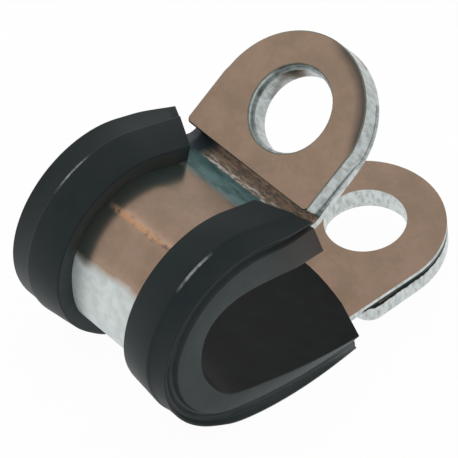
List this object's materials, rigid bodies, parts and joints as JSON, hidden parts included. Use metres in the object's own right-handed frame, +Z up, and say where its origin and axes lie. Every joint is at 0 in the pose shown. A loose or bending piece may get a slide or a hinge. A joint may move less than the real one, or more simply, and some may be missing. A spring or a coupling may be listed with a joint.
{
  "type": "rubber-lined p clip",
  "caption": "Steel strip formed round a cable with a black rubber lining, ending in two plated ears with one bolt hole each.",
  "frame": {"origin": "on the axis of the cable seat, at the middle of the clip's width", "axes": "+X along the cable, +Y from the loop to the ears, +Z up as the open clip rests on its rubber"},
  "size_m": [0.0158, 0.031, 0.0214],
  "materials": {
    "zinc_steel": "satin zinc plate",
    "black_rubber": "satin extruded rubber"
  },
  "bodies": {
    "root": {"steel_band": "zinc_steel", "upper_ear_plate": "zinc_steel", "lower_ear_plate": "zinc_steel", "rubber_lining": "black_rubber"}
  },
  "joints": []
}
